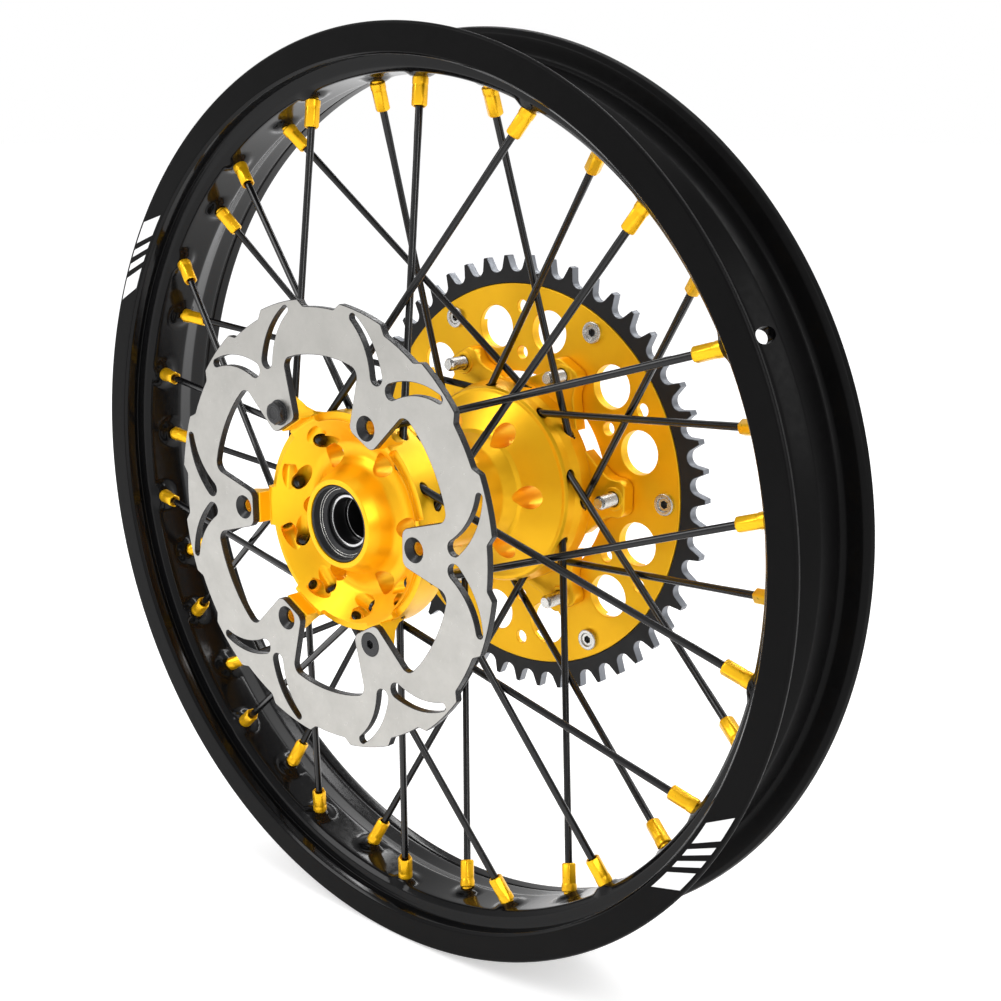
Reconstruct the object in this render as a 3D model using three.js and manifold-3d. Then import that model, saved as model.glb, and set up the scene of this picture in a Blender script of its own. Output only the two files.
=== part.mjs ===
// Spoked rear wheel of an off-road motorcycle: rim, 36 laced spokes, machined hub, wave brake disc,
// two-piece sprocket and sealed wheel bearings.
// Millimetres. The origin is the wheel centre, the axle runs along Y, +Y is the sprocket side,
// -Y the brake disc side, +X forwards and +Z up.

import * as THREE from 'three';
import { mergeVertices } from 'three/addons/utils/BufferGeometryUtils.js';
import Module from 'manifold-3d';

const wasm = await Module();
wasm.setup();

// ---------------------------------------------------------------- driving dimensions

const GAP = 0.3;                    // clearance kept between touching pieces
const SIMPLIFY = 0.08;              // facets closer than this to their neighbours are merged

// rim, 19 x 2.15
const RIM_OUTER_R = 255.3;
const RIM_HALF_WIDTH = 35.8;
const RIM_SIDE_INNER_R = 239.4;     // inner edge of the flat side face
const BEAD_SEAT_R = 241.3;
const BEAD_HALF_WIDTH = 27.3;
const WELL_FLOOR_R = 234.0;
const WELL_UNDER_R = 230.5;
const WELL_CENTRE_Y = -10.5;        // the spoke bed sits towards the brake disc side
const WELL_HALF_WIDTH = 15.5;
const RIM_SEGMENTS = 48;

// lacing
const SPOKE_PHASE = 7.8;            // degrees, first rim hole
const POCKET_PITCH = 40;            // degrees between neighbouring spoke pockets of one flange
const RIM_SWING = 50;               // degrees from a pocket to the rim hole of its spoke
const SPOKE_R = 2.05;
const SPOKE_HEAD_R = 3.5;
const NIPPLE_R = 3.9;
const NIPPLE_SHANK_R = 3.1;
const NIPPLE_HEAD_R = 4.3;
const NIPPLE_LENGTH = 15;
const NIPPLE_SEAT_LIFT = 1.8;       // a leaning nipple head clears the well floor by this much
const POCKET_R = 4.2;               // counterbore behind a spoke's head, open on the flange's face
const POCKET_LENGTH = 15;
const SPOKE_BORE_R = 2.9;           // hole in the flange that a spoke runs through
const VALVE_HOLE_R = 4.2;
const VALVE_HOLE_ANGLE = 28;
const VALVE_HOLE_Y = 5;

// One entry for each hub flange. Its spokes leave it in two families, which turn opposite ways:
// y and swing (degrees from the pocket) tell where a spoke leaves the flange, inside is the length
// of spoke within the flange, and rimY is its place on the rim.
const DISC_SIDE = {
  side: 'disc',
  phase: 30,
  exitR: 57,
  lead: { turn: 1, y: -54.3, swing: 17.3, inside: 16, rimY: -13.5 },
  trail: { turn: -1, y: -60.4, swing: 10.8, inside: 7, rimY: -16.8 },
};
const DRIVE_SIDE = {
  side: 'drive',
  phase: 20,
  exitR: 59.8,
  lead: { turn: 1, y: 61.8, swing: 9.2, inside: 7, rimY: -6 },
  trail: { turn: -1, y: 52.5, swing: 16.8, inside: 16, rimY: -6.6 },
};

// hub
const ARM_PITCH = 60;               // degrees between arms on both ends
const HUB_SEGMENTS = 24;
const DISC_BOLT_R = 65.7;
const DISC_ARM_FACE_Y = -76.5;
const DISC_ARM_BACK_Y = -58;
const DISC_ARM_WIDTH = 17;
const DISC_ARM_INNER_R = 57.2;
const DISC_FLANGE_R = 59;
const EDGE_STEP_INNER_R = 54.8;     // lowered edge of the disc side flange between two lugs
const EDGE_STEP_Y = -65.6;
const EDGE_STEP_HALF = 19;          // degrees either side of the middle
const DISC_THREAD_R = 3.3;
const SPROCKET_BOLT_R = 75.9;
const SPROCKET_ARM_FACE_Y = 70.2;
const SPROCKET_ARM_BACK_Y = 77.2;
const SPROCKET_ARM_WIDTH = 22;
const SPROCKET_ARM_END_R = 83.2;
const SPROCKET_THREAD_R = 4.5;
const STAR_R = 60.2;
const STAR_FILLET = 14;
const ARM_ROOT_R = 50;
const WEB_HOLE_R = 6.4;             // round holes in the disc side dish
const WEB_HOLE_PCR = 36.9;
const SHELL_HOLE_R = 6.8;           // round holes in the drive side shell
const SHELL_HOLE_PCR = 38.2;

// bearings
const HOUSING_R = 21;
const BEARING_WIDTH = 9;
const BEARING_BORE_R = 12.5;
const INNER_RACE_R = 14.9;
const OUTER_RACE_IN_R = 18.6;
const DISC_BEARING_Y = -63;         // outer face of the disc side bearing
const DRIVE_BEARING_Y = 65;         // outer face of the drive side bearing
const DISC_NOSE_Y = -71.7;
const DRIVE_NOSE_Y = 76;
const SPACER_BORE_R = 11.2;
const SPACER_R = 14.4;
const BALL_COUNT = 9;
const BALL_R = 1.5;

// brake disc
const DISC_R = 120;
const DISC_RECESS_R = 116.2;
const DISC_FACE_Y = -80.8;
const DISC_BACK_Y = -76.8;
const DISC_LOBES = 12;
const WINDOW_R = 90.5;              // outer arc of the windows
const WINDOW_ARC_HALF = 12.8;       // degrees of that arc either side of the middle
const WINDOW_CORNER = [85.9, 28.4]; // where a window's side would meet its outer arc
const WINDOW_INNER = [20, 12.2];    // a window's side, carried on towards the axle
const WINDOW_CORNER_START = [78.5, 26.6];
const EAR_TIP_R = 57.2;
const DISC_HOLE_R = 3.4;
const COUNTERSINK_R = 6.4;

// sprocket for a 520 chain
const TEETH = 50;
const CHAIN_PITCH = 15.875;
const ROLLER_R = 5.08;
const TOOTH_TIP_R = 130.9;
const TOOTH_PHASE = 2.3;            // degrees, a tooth tip
const RING_FACE_Y = 77.9;
const RING_BACK_Y = 83.7;
const RING_LAP_Y = 80.9;
const RING_INNER_R = 114.9;
const RING_LAP_R = 108.5;
const RING_BOLT_R = 104.9;
const RING_EAR_R = 7.5;
const RING_HOLE_R = 3.2;
const CARRIER_R = 114.6;
const CARRIER_THICK_R = 96.5;
const CARRIER_BORE_R = 63.2;
const CARRIER_FACE_Y = 77.5;
const CARRIER_BACK_Y = 83.5;
const BIG_HOLE_R = 12.6;
const BIG_HOLE_PCR = 90.2;
const BIG_HOLE_SWING = 17.1;        // degrees either side of an arm
const SMALL_HOLE_R = 3.9;
const SMALL_HOLE_PCRS = [101.3, 74.4];
const CARRIER_BOLT_HOLE_R = 4.4;

// ---------------------------------------------------------------- geometry helpers

const radians = (degrees) => degrees * Math.PI / 180;

// a point at radius r and angle (degrees, from +X towards +Z) in the plane y
function polar(r, angle, y) {
  return new THREE.Vector3(r * Math.cos(radians(angle)), y, r * Math.sin(radians(angle)));
}

// a closed, outward-facing, position-only copy of a geometry
function closed(geometry) {
  const plain = geometry.index ? geometry.toNonIndexed() : geometry.clone();
  plain.deleteAttribute('normal');
  plain.deleteAttribute('uv');
  const merged = mergeVertices(plain, 1e-4);
  const p = merged.attributes.position;
  const kept = [];
  let volume = 0;
  const a = new THREE.Vector3();
  const b = new THREE.Vector3();
  const c = new THREE.Vector3();
  for (let i = 0; i < merged.index.count; i += 3) {
    const [i0, i1, i2] = [0, 1, 2].map((k) => merged.index.getX(i + k));
    if (i0 === i1 || i1 === i2 || i2 === i0) continue;
    kept.push([i0, i1, i2]);
    a.fromBufferAttribute(p, i0);
    b.fromBufferAttribute(p, i1);
    c.fromBufferAttribute(p, i2);
    volume += a.dot(b.cross(c));
  }
  merged.setIndex(kept.flatMap(([i0, i1, i2]) => (volume > 0 ? [i0, i1, i2] : [i0, i2, i1])));
  return merged;
}

function solid(geometry) {
  const g = closed(geometry);
  return new wasm.Manifold(new wasm.Mesh({
    numProp: 3,
    vertProperties: new Float32Array(g.attributes.position.array),
    triVerts: new Uint32Array(g.index.array),
  }));
}

function fromSolid(manifold) {
  const mesh = manifold.simplify(SIMPLIFY).getMesh();
  const geometry = new THREE.BufferGeometry();
  geometry.setAttribute('position', new THREE.BufferAttribute(new Float32Array(mesh.vertProperties), 3));
  geometry.setIndex(new THREE.BufferAttribute(new Uint32Array(mesh.triVerts), 1));
  return geometry;
}

// turned piece about the Y axis from [radius, y] points; the outline is closed here
function turned(points, segments = HUB_SEGMENTS) {
  const outline = [...points, points[0]].map(([r, y]) => new THREE.Vector2(r, y));
  return solid(new THREE.LatheGeometry(outline, segments));
}

// plate cut from a shape drawn in X and Z, between two planes of y
function plate(shape, y0, y1, curveSegments = 6) {
  const depth = y1 - y0;
  const geometry = new THREE.ExtrudeGeometry(shape, { depth, bevelEnabled: false, curveSegments });
  geometry.rotateX(Math.PI / 2);
  geometry.translate(0, y1, 0);
  return solid(geometry);
}

// turned piece about the line from a towards b; profile is [radius, distance from a]
function turnedAlong(profile, a, b, segments) {
  const geometry = new THREE.LatheGeometry(profile.map(([r, s]) => new THREE.Vector2(r, s)), segments);
  const direction = b.clone().sub(a).normalize();
  geometry.applyQuaternion(new THREE.Quaternion().setFromUnitVectors(new THREE.Vector3(0, 1, 0), direction));
  geometry.translate(a.x, a.y, a.z);
  return geometry;
}

// round bar with its axis along Y
function bar(r, angle, radius, y0, y1, segments = 12) {
  const geometry = new THREE.CylinderGeometry(radius, radius, y1 - y0, segments);
  const centre = polar(r, angle, (y0 + y1) / 2);
  geometry.translate(centre.x, centre.y, centre.z);
  return solid(geometry);
}

// a copy turned about the axle
function turnedBy(manifold, angle) {
  return manifold.rotate([0, -angle, 0]);
}

const angles = (count, start = 0) => Array.from({ length: count }, (_, k) => start + k * 360 / count);

function cutAll(body, cutters) {
  return cutters.reduce((rest, cutter) => rest.subtract(cutter), body);
}

function joinAll(solids) {
  return solids.reduce((sum, next) => sum.add(next));
}

// ---------------------------------------------------------------- lacing

// the straight line of one spoke, from its head in the flange to its seat in the rim
function spokeLine(flange, family, pocket) {
  const exit = polar(flange.exitR, pocket + family.turn * family.swing, family.y);
  const seat = polar(WELL_UNDER_R, pocket + family.turn * RIM_SWING, family.rimY);
  const inward = exit.clone().sub(seat).normalize();
  const head = exit.clone().addScaledVector(inward, family.inside);
  return { head, seat, inside: family.inside };
}

const lacing = [DISC_SIDE, DRIVE_SIDE].flatMap((flange) =>
  angles(360 / POCKET_PITCH, SPOKE_PHASE + flange.phase).flatMap((pocket, k) =>
    ['lead', 'trail'].map((family) => ({
      name: `spoke_${flange.side}_${family}_${k + 1}`,
      ...spokeLine(flange, flange[family], pocket),
    }))));

// ---------------------------------------------------------------- rim

// the rim's section from the middle of its spoke bed out to one side, -1 or +1, and back
function halfRim(side) {
  const bed = (offset) => WELL_CENTRE_Y + side * (WELL_HALF_WIDTH + offset);
  const flank = side > 0 ? bed(7) : -26.4;
  const innerFlank = side > 0 ? bed(3) : -23.6;
  return [
    [WELL_UNDER_R, bed(-4)],
    [WELL_UNDER_R + 2.5, side > 0 ? bed(1) : -24.6],
    [RIM_SIDE_INNER_R - 1.8, flank],
    [RIM_SIDE_INNER_R, side * (RIM_HALF_WIDTH - 0.7)],
    [RIM_OUTER_R - 1.2, side * RIM_HALF_WIDTH],
    [RIM_OUTER_R, side * (RIM_HALF_WIDTH - 1.6)],
    [RIM_OUTER_R - 3, side * (BEAD_HALF_WIDTH + 2)],
    [BEAD_SEAT_R, side * BEAD_HALF_WIDTH],
    [BEAD_SEAT_R - 0.6, innerFlank],
    [WELL_FLOOR_R, bed(-5)],
  ];
}

function makeRim() {
  const body = turned([...halfRim(1), ...halfRim(-1).reverse()], RIM_SEGMENTS);
  // each hole follows the line of its nipple
  const holeR = NIPPLE_SHANK_R + 0.6;
  const cutter = [[0, -6], [holeR, -6], [holeR, 12], [0, 12]];
  const holes = lacing.map(({ seat, head }) => {
    const outward = seat.clone().multiplyScalar(2).sub(head);
    return solid(turnedAlong(cutter, seat, outward, 6));
  });
  const valve = [[0, -10], [VALVE_HOLE_R, -10], [VALVE_HOLE_R, 12], [0, 12]];
  const valveSeat = polar(WELL_UNDER_R, VALVE_HOLE_ANGLE, VALVE_HOLE_Y);
  const valveOutward = polar(RIM_OUTER_R, VALVE_HOLE_ANGLE, VALVE_HOLE_Y);
  holes.push(solid(turnedAlong(valve, valveSeat, valveOutward, 10)));
  return cutAll(body, holes);
}

// spoke with its nipple, turned about the spoke's own line
function makeSpoke({ head, seat }) {
  const length = seat.distanceTo(head);
  const wall = WELL_FLOOR_R - WELL_UNDER_R;
  const bodyTop = length - 2.6;
  const headSeat = length + wall + NIPPLE_SEAT_LIFT;
  const profile = [
    [0, 0],
    [SPOKE_HEAD_R, 1],
    [SPOKE_R, 3.2],
    [SPOKE_R, bodyTop - NIPPLE_LENGTH],
    [NIPPLE_R, bodyTop - NIPPLE_LENGTH + 1],
    [NIPPLE_R, bodyTop],
    [NIPPLE_SHANK_R, bodyTop + 0.6],
    [NIPPLE_SHANK_R, headSeat],
    [NIPPLE_HEAD_R, headSeat],
    [0, headSeat + 2.6],
  ];
  return solid(turnedAlong(profile, head, seat, 6));
}

// ---------------------------------------------------------------- hub

// outline of an arm pointing along +X, blended into the ring of radius STAR_R by concave fillets
function armShape() {
  const half = SPROCKET_ARM_WIDTH / 2;
  const corner = 8;
  const filletZ = half + STAR_FILLET;
  const filletX = Math.sqrt((STAR_R + STAR_FILLET) ** 2 - filletZ ** 2);
  const lean = Math.atan2(filletZ, filletX);
  const shape = new THREE.Shape();
  shape.moveTo(ARM_ROOT_R, -half);
  shape.lineTo(STAR_R * Math.cos(lean), -STAR_R * Math.sin(lean));
  shape.absarc(filletX, -filletZ, STAR_FILLET, Math.PI - lean, Math.PI / 2, true);
  shape.absarc(SPROCKET_ARM_END_R - corner, -half + corner, corner, -Math.PI / 2, 0, false);
  shape.absarc(SPROCKET_ARM_END_R - corner, half - corner, corner, 0, Math.PI / 2, false);
  shape.absarc(filletX, filletZ, STAR_FILLET, -Math.PI / 2, lean - Math.PI, true);
  shape.lineTo(ARM_ROOT_R, half);
  return shape;
}

// lug that carries one ear of the brake disc, from the edge of the flange out round its bolt
function lugShape() {
  const half = DISC_ARM_WIDTH / 2;
  const shape = new THREE.Shape();
  shape.moveTo(DISC_ARM_INNER_R, -half);
  shape.lineTo(DISC_BOLT_R, -half);
  shape.absarc(DISC_BOLT_R, 0, half, -Math.PI / 2, Math.PI / 2, false);
  shape.lineTo(DISC_ARM_INNER_R, half);
  return shape;
}

// sector of a ring centred on +X
function sectorShape(innerR, outerR, halfAngle) {
  const half = radians(halfAngle);
  const shape = new THREE.Shape();
  shape.absarc(0, 0, outerR, -half, half, false);
  shape.absarc(0, 0, innerR, half, -half, true);
  return shape;
}

// disc side lugs, whose backs slope from the flange up to their tips like gussets
function makeLugs() {
  const lug = plate(lugShape(), DISC_ARM_FACE_Y, DISC_ARM_BACK_Y, 5);
  const slope = turned([[59.4, -57], [61, -64], [64.4, -68.6], [69, -71.4], [77, -73], [77, -57]]);
  return angles(360 / ARM_PITCH).map((a) => turnedBy(lug, a).subtract(slope));
}

function makeHub() {
  const body = turned([
    [HOUSING_R, DISC_NOSE_Y], [23.8, DISC_NOSE_Y], [26.8, -66], [29.6, -59.4], [33.6, -55.2], [38.6, -54.2],
    [44.6, -57.4], [56.2, -69], [DISC_FLANGE_R, -69], [DISC_FLANGE_R, -46.4], [57, -45.4], [40, -43.8],
    [31.5, -36], [29.5, -24], [29.5, 28], [32.4, 36.6], [54.8, 48.2], [57.8, 49.6], [58.6, 55],
    [STAR_R, 60], [STAR_R, 70.4], [56.4, 70.4], [46, 60.2], [40, 57.2], [34, 58], [30, 62.4], [27, 69],
    [23.8, DRIVE_NOSE_Y], [HOUSING_R, DRIVE_NOSE_Y],
    [HOUSING_R, DRIVE_BEARING_Y - BEARING_WIDTH - GAP], [17, DRIVE_BEARING_Y - BEARING_WIDTH - GAP],
    [17, DISC_BEARING_Y + BEARING_WIDTH + GAP], [HOUSING_R, DISC_BEARING_Y + BEARING_WIDTH + GAP],
  ]);
  const arm = plate(armShape(), SPROCKET_ARM_FACE_Y - 2, SPROCKET_ARM_BACK_Y, 3);
  const arms = angles(360 / ARM_PITCH).map((a) => turnedBy(arm, a));
  const whole = joinAll([body, ...arms, ...makeLugs()]);

  const step = plate(sectorShape(EDGE_STEP_INNER_R, DISC_FLANGE_R + 1, EDGE_STEP_HALF), -72, EDGE_STEP_Y, 3);
  const cutters = [];
  for (const a of angles(360 / ARM_PITCH)) {
    cutters.push(turnedBy(step, a + ARM_PITCH / 2));
    cutters.push(bar(SPROCKET_BOLT_R, a, SPROCKET_THREAD_R, 60, 90, 8));
    cutters.push(bar(DISC_BOLT_R, a, DISC_THREAD_R, -80, -60, 8));
    cutters.push(bar(WEB_HOLE_PCR, a, WEB_HOLE_R, -80, -30, 8));
    cutters.push(bar(SHELL_HOLE_PCR, a, SHELL_HOLE_R, 30, 90, 8));
  }
  // each spoke runs in its own bore, with a counterbore for its head
  for (const { head, seat, inside } of lacing) {
    const outline = [[0, -POCKET_LENGTH], [POCKET_R, -POCKET_LENGTH], [POCKET_R, 4.5], [SPOKE_BORE_R, 4.5],
      [SPOKE_BORE_R, inside + 6], [0, inside + 6]];
    cutters.push(solid(turnedAlong(outline, head, seat, 6)));
  }
  return cutAll(whole, cutters);
}

// ---------------------------------------------------------------- brake disc

// one window between two ears, open towards the axle, centred on +X
function windowShape() {
  const arc = radians(WINDOW_ARC_HALF);
  const [innerX, innerZ] = WINDOW_INNER;
  const [startX, startZ] = WINDOW_CORNER_START;
  const [cornerX, cornerZ] = WINDOW_CORNER;
  const shape = new THREE.Shape();
  shape.moveTo(innerX, -innerZ);
  shape.lineTo(startX, -startZ);
  shape.quadraticCurveTo(cornerX, -cornerZ, WINDOW_R * Math.cos(arc), -WINDOW_R * Math.sin(arc));
  shape.absarc(0, 0, WINDOW_R, -arc, arc, false);
  shape.quadraticCurveTo(cornerX, cornerZ, startX, startZ);
  shape.lineTo(innerX, innerZ);
  return shape;
}

function discOutline() {
  const shape = new THREE.Shape();
  const ramp = 1.6;
  const lobeHalf = 7.2;
  angles(DISC_LOBES, 15).forEach((lobe, k) => {
    const corners = [[DISC_RECESS_R, -lobeHalf - ramp], [DISC_R, -lobeHalf], [DISC_R, 0], [DISC_R, lobeHalf],
      [DISC_RECESS_R, lobeHalf + ramp], [DISC_RECESS_R, 15]];
    corners.forEach(([r, swing], i) => {
      const p = polar(r, lobe + swing, 0);
      if (k === 0 && i === 0) shape.moveTo(p.x, p.z);
      else shape.lineTo(p.x, p.z);
    });
  });
  return shape;
}

// curved slot that starts wide beside an ear and narrows towards the rim of the disc
function slotShape() {
  const path = new THREE.QuadraticBezierCurve(
    new THREE.Vector2(93, 6), new THREE.Vector2(107, 17), new THREE.Vector2(109.5, 34));
  const steps = 4;
  const left = [];
  const right = [];
  for (let i = 0; i <= steps; i += 1) {
    const t = i / steps;
    const p = path.getPoint(t);
    const d = path.getTangent(t);
    const w = 4.2 - 2.2 * t;
    left.push([p.x - d.y * w, p.y + d.x * w]);
    right.push([p.x + d.y * w, p.y - d.x * w]);
  }
  const start = path.getPoint(0).sub(path.getTangent(0).multiplyScalar(3.6));
  const shape = new THREE.Shape();
  shape.moveTo(start.x, start.y);
  [...right, ...left.reverse()].forEach(([x, z]) => shape.lineTo(x, z));
  return shape;
}

function makeBrakeDisc() {
  const disc = plate(discOutline(), DISC_FACE_Y, DISC_BACK_Y);
  const cutters = [bar(0, 0, EAR_TIP_R, DISC_FACE_Y - 1, DISC_BACK_Y + 1, 36)];
  const window = plate(windowShape(), DISC_FACE_Y - 1, DISC_BACK_Y + 1, 4);
  const slot = plate(slotShape(), DISC_FACE_Y - 1, DISC_BACK_Y + 1);
  const mirroredSlot = slot.mirror([0, 0, 1]);
  const sink = [[0, -1], [COUNTERSINK_R + 1, -1], [DISC_HOLE_R, COUNTERSINK_R - DISC_HOLE_R],
    [DISC_HOLE_R, 6], [0, 6]];
  for (const a of angles(360 / ARM_PITCH)) {
    cutters.push(turnedBy(window, a + 30));
    cutters.push(turnedBy(slot, a));
    cutters.push(turnedBy(mirroredSlot, a));
    const centre = polar(DISC_BOLT_R, a, DISC_FACE_Y);
    cutters.push(solid(turnedAlong(sink, centre, polar(DISC_BOLT_R, a, 0), 10)));
  }
  return cutAll(disc, cutters);
}

// bolt with its head on the disc and its thread in the hub lug
function makeDiscBolt(angle, profile, segments) {
  return solid(turnedAlong(profile, polar(DISC_BOLT_R, angle, DISC_FACE_Y), polar(DISC_BOLT_R, angle, 0), segments));
}

const HEX_BOLT = [[0, -4], [5.4, -4], [6.2, -3.2], [6.2, -0.3], [2.7, -0.3], [2.7, 15], [0, 15]];
const SINK_BOLT = [[0, 0.2], [5.3, 0.2], [5.3, 0.5], [2.7, 2.9], [2.7, 15], [0, 15]];

// ---------------------------------------------------------------- sprocket

function toothedOutline() {
  const pitchR = CHAIN_PITCH / (2 * Math.sin(Math.PI / TEETH));
  const step = 360 / TEETH;
  const shape = new THREE.Shape();
  angles(TEETH, TOOTH_PHASE).forEach((tip, k) => {
    const outline = [[TOOTH_TIP_R, -0.6], [TOOTH_TIP_R, 0.6],
      [pitchR - ROLLER_R, step / 2 - 1.3], [pitchR - ROLLER_R, step / 2 + 1.3]];
    outline.forEach(([r, swing], i) => {
      const p = polar(r, tip + swing, 0);
      if (k === 0 && i === 0) shape.moveTo(p.x, p.z);
      else shape.lineTo(p.x, p.z);
    });
  });
  return shape;
}

function makeSprocketRing() {
  const band = plate(toothedOutline(), RING_FACE_Y, RING_BACK_Y);
  const ears = angles(6).map((a) => bar(RING_BOLT_R, a, RING_EAR_R, RING_LAP_Y, RING_BACK_Y, 10));
  const inner = cutAll(band, [
    bar(0, 0, RING_INNER_R, RING_FACE_Y - 1, RING_LAP_Y, 48),
    bar(0, 0, RING_LAP_R, RING_FACE_Y - 1, RING_BACK_Y + 1, 48),
  ]);
  const holes = angles(6).map((a) => bar(RING_BOLT_R, a, RING_HOLE_R, RING_FACE_Y, RING_BACK_Y + 1, 8));
  return cutAll(joinAll([inner, ...ears]), holes);
}

function makeCarrier() {
  const body = joinAll([
    bar(0, 0, CARRIER_R, CARRIER_FACE_Y, RING_LAP_Y - GAP, 48),
    bar(0, 0, CARRIER_THICK_R, CARRIER_FACE_Y, CARRIER_BACK_Y, 48),
  ]);
  const cutters = [bar(0, 0, CARRIER_BORE_R, CARRIER_FACE_Y - 1, CARRIER_BACK_Y + 1, 36)];
  for (const a of angles(360 / ARM_PITCH)) {
    cutters.push(bar(SPROCKET_BOLT_R, a, CARRIER_BOLT_HOLE_R, 70, 90, 10));
    cutters.push(bar(RING_BOLT_R, a, RING_HOLE_R, 70, 90, 8));
    cutters.push(bar(BIG_HOLE_PCR, a - BIG_HOLE_SWING, BIG_HOLE_R, 70, 90, 10));
    cutters.push(bar(BIG_HOLE_PCR, a + BIG_HOLE_SWING, BIG_HOLE_R, 70, 90, 10));
    SMALL_HOLE_PCRS.forEach((r) => cutters.push(bar(r, a + 30, SMALL_HOLE_R, 70, 90, 8)));
  }
  return cutAll(body, cutters);
}

// sprocket bolt: head on the outside of the carrier, end showing in front of the hub arm
function makeSprocketBolt(angle) {
  const profile = [[0, 0], [3.4, 0], [4.0, 1], [4.0, 29.6], [6.6, 29.6], [6.6, 35.4], [5.8, 36.2], [0, 36.2]];
  return solid(turnedAlong(profile, polar(SPROCKET_BOLT_R, angle, 54), polar(SPROCKET_BOLT_R, angle, 90), 10));
}

// ---------------------------------------------------------------- bearings

function ring(innerR, outerR, y0, y1, segments = 24) {
  return turned([[innerR, y0], [outerR, y0], [outerR, y1], [innerR, y1]], segments);
}

function ballCage(y) {
  const middleR = (INNER_RACE_R + OUTER_RACE_IN_R) / 2;
  const cage = ring(middleR - 0.6, middleR + 0.6, y - 3, y + 3, 18);
  const balls = angles(BALL_COUNT).map((a) => {
    const ball = new THREE.SphereGeometry(BALL_R, 6, 4);
    const centre = polar(middleR, a, y);
    ball.translate(centre.x, centre.y, centre.z);
    return solid(ball);
  });
  return joinAll([cage, ...balls]);
}

// rubber seal in the mouth of the housing; outward is -1 on the disc side and +1 on the drive side
function makeSeal(outerY, innerY) {
  const outward = Math.sign(outerY);
  return turned([
    [HOUSING_R - GAP, outerY], [19.2, outerY], [19, innerY + outward * 2.2], [15.6, innerY + outward * 1.4],
    [15.6, innerY], [HOUSING_R - GAP, innerY],
  ], 24);
}

// ---------------------------------------------------------------- assembly

const group = new THREE.Group();

function add(name, manifold, color, roughness, metalness) {
  const material = new THREE.MeshStandardMaterial({ color, roughness, metalness });
  const mesh = new THREE.Mesh(fromSolid(manifold), material);
  mesh.name = name;
  group.add(mesh);
}

const GOLD = [0xf2a50c, 0.32, 0.9];
const BLACK_GLOSS = [0x101113, 0.3, 0.6];
const BLACK_STEEL = [0x17181a, 0.45, 0.7];
const STEEL = [0xb9b8b4, 0.35, 1];
const RUBBER = [0x1b1c1e, 0.8, 0];

add('rim', makeRim(), ...BLACK_GLOSS);
lacing.forEach((spoke) => add(spoke.name, makeSpoke(spoke), ...BLACK_STEEL));
add('hub', makeHub(), ...GOLD);
add('brake_disc', makeBrakeDisc(), ...STEEL);
add('disc_bolt_hex', makeDiscBolt(120, HEX_BOLT, 6), ...BLACK_STEEL);
add('disc_bolt_countersunk', makeDiscBolt(-60, SINK_BOLT, 12), ...BLACK_STEEL);
add('sprocket_ring', makeSprocketRing(), ...BLACK_STEEL);
add('sprocket_carrier', makeCarrier(), ...GOLD);
angles(6).forEach((a, k) => add(`sprocket_bolt_${k + 1}`, makeSprocketBolt(a), ...STEEL));

const bearings = [
  ['disc', DISC_BEARING_Y, DISC_BEARING_Y + BEARING_WIDTH, DISC_NOSE_Y + 0.7],
  ['drive', DRIVE_BEARING_Y, DRIVE_BEARING_Y - BEARING_WIDTH, DRIVE_NOSE_Y - 0.7],
];
for (const [side, outerY, innerY, sealY] of bearings) {
  const [y0, y1] = [Math.min(outerY, innerY), Math.max(outerY, innerY)];
  add(`bearing_outer_race_${side}`, ring(OUTER_RACE_IN_R, HOUSING_R - GAP, y0, y1), ...STEEL);
  add(`bearing_inner_race_${side}`, ring(BEARING_BORE_R, INNER_RACE_R, y0, y1), ...STEEL);
  add(`bearing_balls_${side}`, ballCage((y0 + y1) / 2), ...STEEL);
  add(`seal_${side}`, makeSeal(sealY, outerY + Math.sign(outerY) * GAP), ...RUBBER);
}
add('spacer_tube', ring(SPACER_BORE_R, SPACER_R, DISC_BEARING_Y + BEARING_WIDTH + GAP,
  DRIVE_BEARING_Y - BEARING_WIDTH - GAP), ...STEEL);

export default group;
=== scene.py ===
"""Looks of the laced off-road wheel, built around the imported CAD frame.

Lengths are millimetres until a piece is finished, then metres. The axle runs along Y,
-Y is the brake disc side, +Y the sprocket side, angles run from +X towards +Z.
"""
import math

import bmesh
import bpy
import numpy as np
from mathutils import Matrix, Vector

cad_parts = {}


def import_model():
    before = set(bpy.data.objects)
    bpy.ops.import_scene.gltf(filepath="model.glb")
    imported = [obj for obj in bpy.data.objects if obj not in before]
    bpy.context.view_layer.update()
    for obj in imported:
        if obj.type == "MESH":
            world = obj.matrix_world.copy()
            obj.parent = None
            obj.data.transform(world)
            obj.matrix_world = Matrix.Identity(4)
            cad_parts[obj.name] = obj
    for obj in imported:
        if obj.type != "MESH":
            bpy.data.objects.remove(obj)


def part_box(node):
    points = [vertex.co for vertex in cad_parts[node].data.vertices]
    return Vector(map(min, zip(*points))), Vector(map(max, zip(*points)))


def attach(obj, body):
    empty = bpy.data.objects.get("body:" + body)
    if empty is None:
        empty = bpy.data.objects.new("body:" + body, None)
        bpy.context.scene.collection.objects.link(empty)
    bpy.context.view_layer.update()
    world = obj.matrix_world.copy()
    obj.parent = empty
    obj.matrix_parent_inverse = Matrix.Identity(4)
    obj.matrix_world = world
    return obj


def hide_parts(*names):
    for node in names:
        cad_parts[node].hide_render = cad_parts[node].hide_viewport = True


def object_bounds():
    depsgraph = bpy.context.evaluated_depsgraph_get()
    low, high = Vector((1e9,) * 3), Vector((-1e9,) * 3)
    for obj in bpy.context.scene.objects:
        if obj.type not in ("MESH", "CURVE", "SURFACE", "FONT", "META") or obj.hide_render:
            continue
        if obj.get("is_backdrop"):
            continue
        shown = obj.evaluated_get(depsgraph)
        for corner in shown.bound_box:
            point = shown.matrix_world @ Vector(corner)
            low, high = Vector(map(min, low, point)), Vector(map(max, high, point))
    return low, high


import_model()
cad_low, cad_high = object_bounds()

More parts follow.
